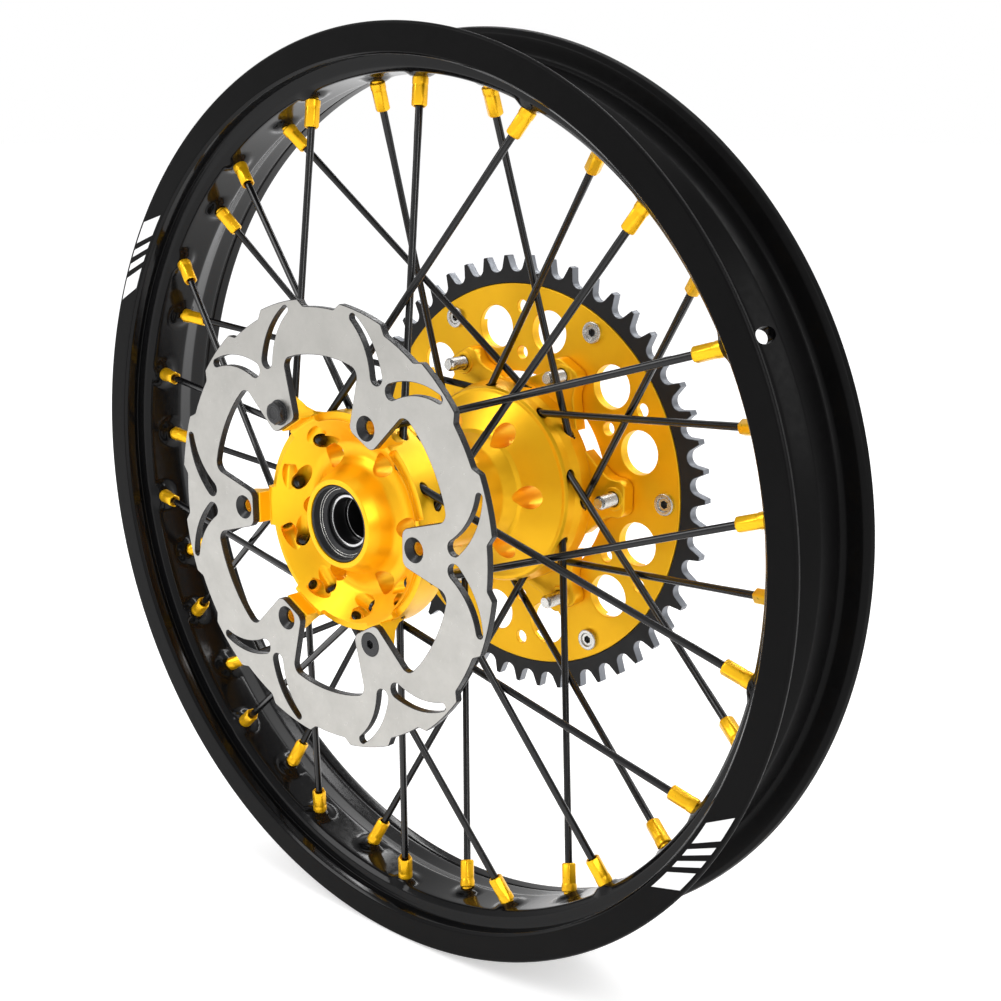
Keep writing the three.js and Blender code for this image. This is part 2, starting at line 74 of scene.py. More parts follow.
MM = 0.001
TURN = 2 * math.pi


# ------------------------------------------------------------------ sizes taken from the frame

def node_box(node):
    """Lowest and highest corner of a CAD node in millimetres."""
    low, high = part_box(node)
    return low / MM, high / MM


RIM_R = node_box("rim")[1].x
RIM_HALF = node_box("rim")[1].y
DISC_FACE, DISC_BACK = (corner.y for corner in node_box("brake_disc"))
DISC_R = node_box("brake_disc")[1].x
RING_FACE, RING_BACK = (corner.y for corner in node_box("sprocket_ring"))
CARRIER_FACE, CARRIER_BACK = (corner.y for corner in node_box("sprocket_carrier"))
CARRIER_R = node_box("sprocket_carrier")[1].x
NOSE_DISC = node_box("hub")[0].y + 4.8
BOLT_LOW, BOLT_HIGH = (corner.y for corner in node_box("sprocket_bolt_1"))

# lacing, the same plan as the CAD spokes: the two families of a flange turn opposite ways; y and swing
# (degrees from the pocket) tell where a spoke leaves the flange, inside is its length within it, and
# rim_y is its place on the rim
SPOKES_IN_FAMILY = 9
SPOKE_PHASE = 7.8
RIM_SWING = 50
WELL_UNDER_R = 230.5
WELL_FLOOR_R = 234.0
FLANGES = {
    "disc": {"phase": 30, "exit_r": 57, "families": {
        "lead": {"turn": 1, "y": -54.3, "swing": 17.3, "inside": 16, "rim_y": -13.5},
        "trail": {"turn": -1, "y": -60.4, "swing": 10.8, "inside": 7, "rim_y": -16.8}}},
    "drive": {"phase": 20, "exit_r": 59.8, "families": {
        "lead": {"turn": 1, "y": 61.8, "swing": 9.2, "inside": 7, "rim_y": -6},
        "trail": {"turn": -1, "y": 52.5, "swing": 16.8, "inside": 16, "rim_y": -6.6}}},
}
SPOKE_R = 2.05
SPOKE_BORE_R = 2.9
POCKET_R = 4.2
POCKET_LENGTH = 15

# rim: the dimple round each nipple, and the valve hole
DIMPLE_DEPTH = 2.2
DIMPLE_R = 9.2
DIMPLE_SLOPE = 4.6
VALVE_R = 4.2
VALVE_ANGLE = 28
VALVE_Y = 5

# bolt circles
DISC_BOLT_R = 65.7
SPROCKET_BOLT_R = 75.9
RING_BOLT_R = 104.9
HEX_BOLT_ANGLE = 120
SINK_BOLT_ANGLE = -60

# hub: the flange that carries the sprocket arms, and the lightening holes of its two webs
ARM_FLANGE_R = 60.2
DISC_WEB_HOLE = {"at": 36.9, "r": 6.4}
DRIVE_WEB_HOLE = {"at": 38.2, "r": 6.8}

# bearings and seals
BEARING_BORE_R = 12.5
RACE_LAND_R = 14.0
CUP_INNER_R = 18.6
BALL_COUNT = 9
BALL_R = 1.5
SPACER_BORE_R = 11.2
SPACER_LAND_R = 11.95


# ------------------------------------------------------------------ solids as (points, faces)

def polar(r, angle, y):
    a = math.radians(angle)
    return Vector((r * math.cos(a), y, r * math.sin(a)))


def rounded(corners, step=10):
    """Closed outline with an arc at each corner; a corner is (x, y, radius), step is in degrees."""
    out = []
    count = len(corners)
    for i, (x, y, radius) in enumerate(corners):
        p = np.array([x, y], float)
        if radius <= 0:
            out.append(tuple(p))
            continue
        before = np.array(corners[i - 1][:2], float) - p
        after = np.array(corners[(i + 1) % count][:2], float) - p
        room = 0.48 * min(np.linalg.norm(before), np.linalg.norm(after))
        d1 = before / np.linalg.norm(before)
        d2 = after / np.linalg.norm(after)
        turn = math.pi - math.acos(np.clip(d1 @ d2, -1, 1))
        if turn < 0.01:
            out.append(tuple(p))
            continue
        tangent = min(radius * math.tan(turn / 2), room)
        radius = tangent / math.tan(turn / 2)
        middle = d1 + d2
        centre = p + middle / np.linalg.norm(middle) * math.hypot(radius, tangent)
        start = p + d1 * tangent - centre
        end = p + d2 * tangent - centre
        steps = max(2, math.ceil(math.degrees(turn) / step))
        first = math.atan2(start[1], start[0])
        sweep = math.atan2(start[0] * end[1] - start[1] * end[0], start @ end)
        for k in range(steps + 1):
            a = first + sweep * k / steps
            out.append((centre[0] + radius * math.cos(a), centre[1] + radius * math.sin(a)))
    return out


def divided(outline, longest):
    """Outline with no side longer than a given length."""
    out = []
    for i, (x0, y0) in enumerate(outline):
        x1, y1 = outline[(i + 1) % len(outline)]
        parts = max(1, math.ceil(math.hypot(x1 - x0, y1 - y0) / longest))
        out += [(x0 + (x1 - x0) * k / parts, y0 + (y1 - y0) * k / parts) for k in range(parts)]
    return out


def lathe(outline, segments=96):
    """Closed outline of (radius, y) turned about the Y axis."""
    profile = np.array(outline, float)
    a = np.arange(segments) * TURN / segments
    points = np.empty((segments, len(profile), 3))
    points[..., 0] = np.cos(a)[:, None] * profile[:, 0]
    points[..., 1] = profile[:, 1]
    points[..., 2] = np.sin(a)[:, None] * profile[:, 0]
    n = len(profile)
    s, i = np.meshgrid(np.arange(segments), np.arange(n), indexing="ij")
    s1, i1 = (s + 1) % segments, (i + 1) % n
    faces = np.stack([s * n + i, s * n + i1, s1 * n + i1, s1 * n + i], -1).reshape(-1, 4)
    return tidy(points.reshape(-1, 3), faces.tolist())


def faceted(rings, sides, flat_share, segments=48):
    """Bar along Y whose rings are (radius, y, flattened); flattened rings are cut to a polygon."""
    rows = []
    for radius, y, flattened in rings:
        a = np.arange(segments) * TURN / segments
        r = np.full(segments, float(radius))
        if flattened:
            within = (a + math.pi / sides) % (TURN / sides) - math.pi / sides
            r = np.minimum(r, radius * flat_share / np.cos(within))
        rows.append(np.stack([r * np.cos(a), np.full(segments, float(y)), r * np.sin(a)], -1))
    points = np.concatenate(rows)
    faces = []
    for k in range(len(rings) - 1):
        for s in range(segments):
            s1 = (s + 1) % segments
            faces.append([k * segments + s, k * segments + s1, (k + 1) * segments + s1,
                          (k + 1) * segments + s])
    faces.append(list(range(segments)))
    faces.append(list(range(len(points) - segments, len(points))))
    return tidy(points, faces)


def tidy(points, faces):
    """Welded copy with its faces pointing out."""
    mesh = bpy.data.meshes.new("work")
    mesh.from_pydata(np.asarray(points).tolist(), [], faces)
    bm = bmesh.new()
    bm.from_mesh(mesh)
    bmesh.ops.remove_doubles(bm, verts=bm.verts, dist=1e-4)
    bmesh.ops.dissolve_degenerate(bm, edges=bm.edges, dist=1e-5)
    bmesh.ops.recalc_face_normals(bm, faces=bm.faces)
    bm.to_mesh(mesh)
    bm.free()
    return taken(mesh)


def taken(mesh):
    """Points and faces of a mesh, which is then removed."""
    points = np.empty(len(mesh.vertices) * 3)
    mesh.vertices.foreach_get("co", points)
    faces = [list(p.vertices) for p in mesh.polygons]
    bpy.data.meshes.remove(mesh)
    return points.reshape(-1, 3), faces


def plate(contours, y0, y1, bevel=0.4):
    """Flat plate between two planes of y, outer contour first, its holes after; edges are rounded."""
    curve = bpy.data.curves.new("plate", "CURVE")
    curve.dimensions = "2D"
    curve.fill_mode = "BOTH"
    curve.extrude = (y1 - y0) / 2 - bevel
    curve.bevel_depth = bevel
    curve.bevel_resolution = 1
    curve.offset = -bevel
    for contour in contours:
        spline = curve.splines.new("POLY")
        spline.points.add(len(contour) - 1)
        for point, (x, z) in zip(spline.points, contour):
            point.co = (x, z, 0, 1)
        spline.use_cyclic_u = True
    work = bpy.data.objects.new("plate", curve)
    bpy.context.scene.collection.objects.link(work)
    bpy.context.view_layer.update()
    mesh = bpy.data.meshes.new_from_object(work.evaluated_get(bpy.context.evaluated_depsgraph_get()))
    bpy.data.objects.remove(work)
    bpy.data.curves.remove(curve)
    points, faces = taken(mesh)
    points = np.stack([points[:, 0], (y0 + y1) / 2 - points[:, 2], points[:, 1]], -1)
    return tidy(points, faces)


def circle(r, angle=0, at=0.0, count=72):
    """Round contour of radius r whose centre is `at` from the axle."""
    c = polar(at, angle, 0)
    return [(c.x + r * math.cos(TURN * k / count), c.z + r * math.sin(TURN * k / count))
            for k in range(count)]


def lathe_at(r, outline, count=40):
    """Turned solid parallel to the axle, r from it along +X."""
    points, faces = lathe(outline, count)
    return points + np.array([r, 0, 0]), faces


def drilled(at, r, y0, y1, count=40):
    """Round bar of radius r, `at` from the axle along +X, that cuts a hole."""
    return lathe_at(at, [(0, y0), (r, y0), (r, y1), (0, y1)], count)


def thread(y0, y1, r, pitch=1.0, depth=0.35):
    """Saw-tooth side of a threaded hole or bolt."""
    turns = int((y1 - y0) / pitch)
    rows = []
    for k in range(turns):
        rows += [(r, y0 + k * pitch), (r + depth, y0 + (k + 0.5) * pitch)]
    return [*rows, (r, y1)]


def spun(solid, angle):
    """Copy turned about the axle."""
    points, faces = solid
    c, s = math.cos(math.radians(angle)), math.sin(math.radians(angle))
    x, y, z = points.T
    return np.stack([x * c - z * s, y, x * s + z * c], -1), faces


def along(solid, start, towards):
    """Copy whose Y axis runs from start towards a second point."""
    points, faces = solid
    turn = Vector((0, 1, 0)).rotation_difference(towards - start).to_matrix()
    return points @ np.array(turn).T + np.array(start), faces


def joined(solids):
    points, faces, base = [], [], 0
    for p, f in solids:
        points.append(p)
        faces += [[i + base for i in face] for face in f]
        base += len(p)
    return np.concatenate(points), faces


def repeated(solid, count=6, start=0.0):
    return joined([spun(solid, start + k * 360 / count) for k in range(count)])


def bar(r, angle, radius, y0, y1, count=48):
    """Round bar parallel to the axle."""
    points, faces = lathe([(0, y0), (radius, y0), (radius, y1), (0, y1)], count)
    return points + np.array(polar(r, angle, 0)), faces


def work_object(solid):
    mesh = bpy.data.meshes.new("work")
    mesh.from_pydata(solid[0].tolist(), [], solid[1])
    thing = bpy.data.objects.new("work", mesh)
    bpy.context.scene.collection.objects.link(thing)
    return thing


def shaped(base, add=(), cut=()):
    """Base with solids joined on, then solids cut away."""
    body = work_object(base)
    tools = []
    for operation, solids in (("UNION", add), ("DIFFERENCE", cut)):
        for solid in solids:
            tool = work_object(solid)
            tools.append(tool)
            modifier = body.modifiers.new("boolean", "BOOLEAN")
            modifier.solver = "MANIFOLD"
            modifier.operation = operation
            modifier.object = tool
    bpy.context.view_layer.update()
    mesh = bpy.data.meshes.new_from_object(body.evaluated_get(bpy.context.evaluated_depsgraph_get()))
    for thing in [body, *tools]:
        data = thing.data
        bpy.data.objects.remove(thing)
        bpy.data.meshes.remove(data)
    return taken(mesh)


def piece(name, solid, materials, nodes=(), body="wheel", pick=None, sharp=32):
    """Finished object in metres; pick chooses each face's material from centres and normals."""
    mesh = bpy.data.meshes.new(name)
    mesh.from_pydata((solid[0] * MM).tolist(), [], solid[1])
    mesh.validate()
    mesh.shade_smooth()
    mesh.set_sharp_from_angle(angle=math.radians(sharp))
    for material in materials:
        mesh.materials.append(material)
    if pick is not None:
        count = len(mesh.polygons)
        centres, normals = np.empty(count * 3), np.empty(count * 3)
        mesh.polygons.foreach_get("center", centres)
        mesh.polygons.foreach_get("normal", normals)
        chosen = pick(centres.reshape(-1, 3) / MM, normals.reshape(-1, 3))
        mesh.polygons.foreach_set("material_index", chosen.astype(np.int32))
    thing = bpy.data.objects.new(name, mesh)
    bpy.context.scene.collection.objects.link(thing)
    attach(thing, body)
    if nodes:
        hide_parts(*nodes)


# ------------------------------------------------------------------ materials

def node(tree, kind, **settings):
    made = tree.nodes.new(kind)
    for key, value in settings.items():
        if key in made.inputs:
            made.inputs[key].default_value = value
        else:
            setattr(made, key, value)
    return made


def spread(tree, source, low, high):
    """Source values from 0.3 to 0.7 spread over a range."""
    ranged = node(tree, "ShaderNodeMapRange", clamp=True)
    for socket, value in zip(("From Min", "From Max", "To Min", "To Max"), (0.3, 0.7, low, high)):
        ranged.inputs[socket].default_value = value
    tree.links.new(source, ranged.inputs["Value"])
    return ranged.outputs["Result"]


def finish_material(name, base, metallic, roughness, rough_swing=0.08, colour_swing=0.12, grain="fine",
                    grain_depth=0.0000015, wear=None, edge=0.0004, patch=45.0, level=0.5):
    """Painted, anodised or bare metal: patchy colour and roughness, a machined or cast grain and
    soft edges, worn to another colour where wear gives one. Lengths are in metres."""
    made = bpy.data.materials.new(name)
    made.use_nodes = True
    tree = made.node_tree
    shader = tree.nodes["Principled BSDF"]
    shader.inputs["Metallic"].default_value = metallic
    shader.inputs["Specular IOR Level"].default_value = level
    place = node(tree, "ShaderNodeTexCoord").outputs["Object"]

    cloud = node(tree, "ShaderNodeTexNoise", Scale=patch, Detail=5.0, Roughness=0.6)
    tree.links.new(place, cloud.inputs["Vector"])
    colour = node(tree, "ShaderNodeMix", data_type="RGBA")
    colour.inputs["A"].default_value = (*[c * (1 - colour_swing) for c in base], 1)
    colour.inputs["B"].default_value = (*[min(1, c * (1 + colour_swing)) for c in base], 1)
    tree.links.new(spread(tree, cloud.outputs["Fac"], 0, 1), colour.inputs["Factor"])
    result = colour.outputs["Result"]

    smear = node(tree, "ShaderNodeTexNoise", Scale=patch * 7, Detail=6.0, Roughness=0.65)
    tree.links.new(place, smear.inputs["Vector"])
    rough = spread(tree, smear.outputs["Fac"], roughness - rough_swing, roughness + rough_swing)
    tree.links.new(rough, shader.inputs["Roughness"])

    soft = node(tree, "ShaderNodeBevel", samples=4, Radius=edge)
    if wear is not None:
        shape = node(tree, "ShaderNodeNewGeometry")
        match = node(tree, "ShaderNodeVectorMath", operation="DOT_PRODUCT")
        tree.links.new(soft.outputs["Normal"], match.inputs[0])
        tree.links.new(shape.outputs["Normal"], match.inputs[1])
        rub = node(tree, "ShaderNodeMapRange", clamp=True)
        for socket, value in zip(("From Min", "From Max", "To Min", "To Max"), (0.97, 0.8, 0, 0.8)):
            rub.inputs[socket].default_value = value
        tree.links.new(match.outputs["Value"], rub.inputs["Value"])
        broken = node(tree, "ShaderNodeMath", operation="MULTIPLY")
        tree.links.new(rub.outputs["Result"], broken.inputs[0])
        tree.links.new(spread(tree, smear.outputs["Fac"], 0.1, 1), broken.inputs[1])
        worn = node(tree, "ShaderNodeMix", data_type="RGBA")
        worn.inputs["B"].default_value = (*wear, 1)
        tree.links.new(broken.outputs["Value"], worn.inputs["Factor"])
        tree.links.new(result, worn.inputs["A"])
        result = worn.outputs["Result"]
    tree.links.new(result, shader.inputs["Base Color"])

    bump = node(tree, "ShaderNodeBump", Strength=0.6, Distance=grain_depth)
    tree.links.new(soft.outputs["Normal"], bump.inputs["Normal"])
    if grain == "turned":
        texture = node(tree, "ShaderNodeTexWave", wave_type="RINGS", rings_direction="Y",
                       Scale=420.0, Distortion=3.0, Detail=3.0)
        texture.inputs["Detail Scale"].default_value = 1.5
        source = place
    elif grain == "brushed":
        stretch = node(tree, "ShaderNodeMapping", Scale=(40, 40, 2600))
        tree.links.new(place, stretch.inputs["Vector"])
        texture = node(tree, "ShaderNodeTexNoise", Scale=1.0, Detail=4.0)
        source = stretch.outputs["Vector"]
    else:
        texture = node(tree, "ShaderNodeTexNoise", Scale=2200.0, Detail=3.0)
        source = place
    tree.links.new(source, texture.inputs["Vector"])
    tree.links.new(texture.outputs["Fac"], bump.inputs["Height"])
    tree.links.new(bump.outputs["Normal"], shader.inputs["Normal"])
    return made


GOLD = (1.0, 0.53, 0.005)
GOLD_WORN = (1.0, 0.66, 0.12)
GOLD_METALLIC = 0.65
gold_turned = finish_material("gold_turned", GOLD, GOLD_METALLIC, 0.36, grain="turned", colour_swing=0.03,
                              rough_swing=0.04, wear=GOLD_WORN, grain_depth=0.000003)
gold_plain = finish_material("gold_plain", GOLD, GOLD_METALLIC, 0.3, rough_swing=0.04, colour_swing=0.04,
                             wear=GOLD_WORN, grain_depth=0.000001)
gold_brushed = finish_material("gold_brushed", GOLD, GOLD_METALLIC, 0.38, rough_swing=0.04, grain="brushed",
                               colour_swing=0.03, wear=GOLD_WORN, grain_depth=0.000002)
rim_gloss = finish_material("rim_gloss", (0.003, 0.003, 0.0033), 0.0, 0.12, rough_swing=0.04,
                            grain_depth=0.0000005, wear=(0.02, 0.02, 0.022), level=0.16)
rim_satin = finish_material("rim_satin", (0.003, 0.0029, 0.003), 0.0, 0.36, rough_swing=0.07,
                            grain_depth=0.000002, wear=(0.03, 0.03, 0.033), level=0.06)
spoke_black = finish_material("spoke_black", (0.003, 0.003, 0.0034), 0.0, 0.2, grain_depth=0.000001,
                              wear=(0.03, 0.03, 0.03), edge=0.0002, level=0.4)
disc_steel = finish_material("disc_steel", (0.43, 0.42, 0.395), 1.0, 0.36, grain="turned",
                             colour_swing=0.07, rough_swing=0.1, wear=(0.8, 0.8, 0.8))
oxide_black = finish_material("oxide_black", (0.01, 0.01, 0.011), 0.0, 0.3, wear=(0.2, 0.2, 0.2),
                              level=0.4)
ring_black = finish_material("ring_black", (0.013, 0.013, 0.014), 0.0, 0.4, wear=(0.3, 0.3, 0.3),
                             level=0.25)
bare_steel = finish_material("bare_steel", (0.62, 0.61, 0.58), 1.0, 0.26, wear=(0.9, 0.9, 0.88),
                             edge=0.00012, grain_depth=0.0000003, rough_swing=0.04, colour_swing=0.05)
tooth_steel = finish_material("tooth_steel", (0.2, 0.21, 0.23), 0.9, 0.4, wear=(0.4, 0.4, 0.42),
                              edge=0.0002)
bearing_steel = finish_material("bearing_steel", (0.6, 0.6, 0.6), 1.0, 0.16, grain="turned",
                                wear=(0.9, 0.9, 0.9))
shield_black = finish_material("shield_black", (0.008, 0.008, 0.009), 0.0, 0.35, grain="turned",
                               level=0.3)
# near-black steel that paints the shade inside the bearing bore, on the hidden sides of the inner races and
# the spacer
bore_steel_painted_shade = finish_material("bore_steel_painted_shade", (0.03, 0.03, 0.032), 0.7, 0.4, grain="turned")
seal_rubber = finish_material("seal_rubber", (0.015, 0.0155, 0.017), 0.0, 0.5, grain_depth=0.000004,
                              level=0.4)
decal_white = finish_material("decal_white", (0.8, 0.8, 0.8), 0.0, 0.35, colour_swing=0.03,
                              grain_depth=0.0000005)


# ------------------------------------------------------------------ lacing

def spoke_line(flange, family, pocket):
    """Head and seat of one spoke."""
    turn = family["turn"]
    leaves = polar(flange["exit_r"], pocket + turn * family["swing"], family["y"])
    seat = polar(WELL_UNDER_R, pocket + turn * RIM_SWING, family["rim_y"])
    head = leaves + (leaves - seat).normalized() * family["inside"]
    return head, seat


lacing = []
for side, flange in FLANGES.items():
    for k in range(SPOKES_IN_FAMILY):
        pocket = SPOKE_PHASE + flange["phase"] + 360 / SPOKES_IN_FAMILY * k
        for family_name, family in flange["families"].items():
            head, seat = spoke_line(flange, family, pocket)
            lacing.append({"name": f"{side}_{family_name}_{k + 1}", "group": (side, family_name),
                           "head": head, "seat": seat})


# ------------------------------------------------------------------ rim

def rim_solid():
    """Rim turned from its section; the spoke bed lies off centre, towards the brake disc."""
    edge = [(239.4, 27.6, 0.5), (238.8, 28.4, 0.6), (238.8, 34.2, 0.8), (240.2, RIM_HALF, 0.8),
            (254.2, RIM_HALF, 1.1), (RIM_R, 34.4, 1.1), (254.4, 31.6, 1.5), (251.9, 29.4, 1.6),
            (243.2, 28.6, 2.6)]
    drive = [(WELL_UNDER_R, 1.0, 3), (233.2, 6.5, 3), (236.6, 13.5, 3), (237.4, 24.6, 1.2),
             (239.4, 25.6, 1.0), *edge, (241.2, 26.6, 3), (240.4, 10.5, 2.4), (WELL_FLOOR_R, 1.5, 3.5)]
    disc = [(WELL_UNDER_R, -22.0, 2.5), (233.2, -24.6, 2), (237.4, -25.6, 1.2), (239.4, -26.2, 0.4),
            *[(r, -y, radius) for r, y, radius in edge], (241.2, -26.6, 1.5), (240.4, -23.0, 1.5),
            (WELL_FLOOR_R, -20.4, 3)]
    outline = divided(rounded([*drive, *reversed(disc)]), 2.0)
    points, faces = lathe(outline, 640)
    # each nipple sits in a punched dimple that stands proud of the underside
    radius = np.hypot(points[:, 0], points[:, 2])
    press = np.zeros(len(points))
    for spoke in lacing:
        seat, head = np.array(spoke["seat"]), np.array(spoke["head"])
        direction = (seat - head) / np.linalg.norm(seat - head)
        offset = points - seat
        beside = np.linalg.norm(offset - np.outer(offset @ direction, direction), axis=1)
        near = np.abs(offset @ direction) < 20
        share = np.clip((DIMPLE_R - beside) / DIMPLE_SLOPE, 0, 1) * near
        press = np.maximum(press, share * share * (3 - 2 * share))
    press *= (radius < 241) * DIMPLE_DEPTH
    for axis in (0, 2):
        points[:, axis] -= points[:, axis] / radius * press
    drill = lathe([(0, -20), (VALVE_R, -20), (VALVE_R, 20), (0, 20)], 40)
    valve = along(drill, polar(232, VALVE_ANGLE, VALVE_Y), polar(250, VALVE_ANGLE, VALVE_Y))
    return shaped((points, faces), cut=[valve])


def rim_pick(centres, normals):
    """Gloss on the underside, satin on the side faces and in the tyre channel."""
    radius = np.hypot(centres[:, 0], centres[:, 2])
    side_face = (np.abs(normals[:, 1]) > 0.8) & (radius > 239.6)
    outward = (centres[:, 0] * normals[:, 0] + centres[:, 2] * normals[:, 2]) / radius > 0.1
    return side_face | (outward & (radius > 232))


piece("rim_hoop", rim_solid(), [rim_gloss, rim_satin], ["rim"], pick=rim_pick)


def slanted_bars(start, widths, lean=3.2, gap=1.1):
    """Row of leaning bars on the disc side face of the rim, widths in degrees."""
    bars = []
    at = start
    inner, outer = 242.2, 252.8
    for width in widths:
        steps = max(2, math.ceil(width * 2))
        rows = [[polar(r, at + shift + width * k / steps, -RIM_HALF) for k in range(steps + 1)]
                for r, shift in ((inner, 0), (outer, lean))]
        points = np.array([*rows[0], *rows[1]])
        n = steps + 1
        faces = [[k, k + 1, n + k + 1, n + k] for k in range(steps)]
        front = points + np.array([0, -0.09, 0])
        back = points + np.array([0, 0.05, 0])
        shell = [[i + 2 * n for i in face] for face in faces] + faces
        loop = [*range(n), *range(2 * n - 1, n - 1, -1)]
        shell += [[a, b, b + 2 * n, a + 2 * n] for a, b in zip(loop, [*loop[1:], loop[0]])]
        bars.append(tidy(np.concatenate([front, back]), shell))
        at += width + gap
    return joined(bars)


STRIPES = [(141.4, (3.6, 1.2, 1.2, 3.4)), (-41.2, (3.4, 1.2, 1.2, 3.6))]
for k, (start, widths) in enumerate(STRIPES):
    piece(f"rim_stripe_{k + 1}", slanted_bars(start, widths), [decal_white])


# ------------------------------------------------------------------ spokes and nipples

def spoke_solid(length):
    """Spoke along Y from its head at 0, a little thinner in the middle."""
    rings = [(0, 0), (1.8, 0.1), (3.0, 0.7), (3.5, 1.6), (3.5, 2.6), (SPOKE_R + 0.15, 4.2), (SPOKE_R, 6),
             (SPOKE_R, 40), (SPOKE_R - 0.12, 55), (SPOKE_R - 0.12, length - 45), (SPOKE_R, length - 32),
             (SPOKE_R, length - 4), (0, length - 4)]
    return lathe(rings, 24)


def nipple_solid():
    """Nipple along Y, its seat on the underside of the rim at 0."""
    rings = [(2.06, -15.6, False), (2.75, -15.7, False), (2.75, -17.5, False), (3.3, -17.7, False),
             (3.8, -17.4, True), (4.15, -16.8, True), (4.15, -7.4, True), (3.95, -6.6, False),
             (4.2, -6.0, False), (4.25, -2.9, False), (3.9, -2.4, False), (3.1, -2.2, False),
             (3.1, 1.6, False),
             (4.9, 1.7, False), (4.9, 3.6, False), (4.4, 5.2, False), (3.2, 6.6, False), (1.2, 7.2, False)]
    body = faceted(rings, 6, 0.9)
    slot = plate([[(-0.6, -6), (0.6, -6), (0.6, 6), (-0.6, 6)]], 5.8, 9, 0.01)
    return shaped(body, cut=[slot])


nipple = nipple_solid()
for spoke in lacing:
    length = (spoke["seat"] - spoke["head"]).length
    cad_node = "spoke_" + spoke["name"]
    wire = along(spoke_solid(length), spoke["head"], spoke["seat"])
    piece("wire_" + spoke["name"], wire, [spoke_black], [cad_node])
    cap = along(nipple, spoke["seat"], spoke["seat"] * 2 - spoke["head"])
    piece("nipple_" + spoke["name"], cap, [gold_plain], [cad_node])


# ------------------------------------------------------------------ hub

def arm_contour():
    """Sprocket arm along +X, blended into the flange by concave fillets."""
    half, fillet = 11.0, 14.0
    end = SPROCKET_BOLT_R + 7.3
    root = polar(ARM_FLANGE_R, -24, 0)
    lower = [(50, -half, 0), (root.x, root.z, 0), (71.0, -half, fillet), (end, -half, 7.5)]
    upper = [(x, -z, radius) for x, z, radius in reversed(lower)]
    return rounded([*lower, *upper], step=8)


def lug_contour():
    """Lug that carries one ear of the disc, from the edge of the flange out round its bolt."""
    half, inner_r = 8.5, 57.2
    lower = [(inner_r, -half, 0.8), (DISC_BOLT_R + half, -half, half)]
    upper = [(x, -z, radius) for x, z, radius in reversed(lower)]
    return rounded([*lower, *upper], step=8)


def sector_contour(inner_r, outer_r, half_angle):
    """Sector of a ring centred on +X, with round inner corners."""
    corners = []
    for r, sign in ((outer_r, 1), (inner_r, -1)):
        for k in range(9):
            p = polar(r, sign * half_angle * (k / 4 - 1), 0)
            corners.append((p.x, p.z, 2.0 if r == inner_r and k in (0, 8) else 0))
    return rounded(corners)


def hub_body():
    """Nose, dished disc flange, drum, cone and sprocket flange, turned in one profile."""
    disc_end = [
        (21, NOSE_DISC, 0.5), (23.8, NOSE_DISC, 0.7), (26.8, -66, 6), (29.8, -58.6, 8), (34.6, -54.4, 6),
        (40.4, -54.2, 7), (56.2, -69, 1.2), (59, -69, 0.8), (59, -46.4, 0.8), (57, -45.4, 0.6)]
    drum = [(40, -43.8, 6), (31.5, -36, 10), (29.5, -24, 14), (29.5, 27, 8), (32.6, 35.6, 1.5),
            (34.6, 37.6, 2)]
    drive_end = [
        (54.8, 48.2, 1.2), (56.6, 48.6, 0.5), (57.8, 50.2, 0.6), (58.6, 55, 2), (ARM_FLANGE_R, 60, 3),
        (ARM_FLANGE_R, 70.4, 0.8), (56.4, 70.4, 1), (45, 59.4, 6), (38, 56.8, 6), (32, 59.4, 6), (27, 69, 6),
        (23.8, 76, 1), (21, 76, 0.5)]
    bore = [(21, 55.7, 0), (17, 55.7, 0), (17, -53.7, 0), (21, -53.7, 0)]
    return lathe(divided(rounded([*disc_end, *drum, *drive_end, *bore], step=7), 6.0), 240)


def spoke_bores():
    """Bores of all spokes; each has a counterbore for the spoke's head."""
    bores = []
    for side, flange in FLANGES.items():
        for family_name, family in flange["families"].items():
            end = family["inside"] + 6
            # the counterbore stops short of the flange's edge
            step = min(4.5, family["inside"] - 7.5)
            bore = lathe([(0, -POCKET_LENGTH), (POCKET_R, -POCKET_LENGTH), (POCKET_R, step),
                          (SPOKE_BORE_R, step), (SPOKE_BORE_R, end), (0, end)], 32)
            spokes = [s for s in lacing if s["group"] == (side, family_name)]
            bores.append(joined([along(bore, s["head"], s["seat"]) for s in spokes]))
    return bores


def hub_solid():
    arm = plate([arm_contour()], 68.2, 77.2, 0.8)
    boss_side = rounded([(0, 67.4, 0), (6.6, 67.4, 0.6), (7.4, 69.5, 0), (0, 69.5, 0)])
    boss = lathe_at(SPROCKET_BOLT_R, boss_side, 48)
    # the backs of the lugs slope from the flange up to their tips like gussets
    slope = lathe(rounded([(59.4, -57, 0), (61, -64, 3), (64.4, -68.6, 4), (69, -71.4, 4), (77, -73, 0),
                           (77, -57, 0)]))
    lugs = shaped(repeated(plate([lug_contour()], -76.5, -58, 0.5)), cut=[slope])
    # the flange's edge is lowered between two lugs
    lowered = plate([sector_contour(54.8, 60.5, 19)], -74, -65.6, 0.01)
    tapped = [(0, -80), (3.9, -80), (3.2, -75.8), *thread(-75.8, -58, 3.2), (0, -58)]
    cut = [
        repeated(lowered, 6, 30.0),
        repeated(drilled(SPROCKET_BOLT_R, 4.6, 60, 90)),
        repeated(lathe_at(DISC_BOLT_R, tapped)),
        repeated(drilled(DISC_WEB_HOLE["at"], DISC_WEB_HOLE["r"], -80, -30)),
        repeated(drilled(DRIVE_WEB_HOLE["at"], DRIVE_WEB_HOLE["r"], 30, 90)),
        *spoke_bores(),
    ]
    return shaped(hub_body(), add=[repeated(boss), repeated(arm), lugs], cut=cut)


piece("hub_shell", hub_solid(), [gold_turned], ["hub"], sharp=20)


# ------------------------------------------------------------------ brake disc

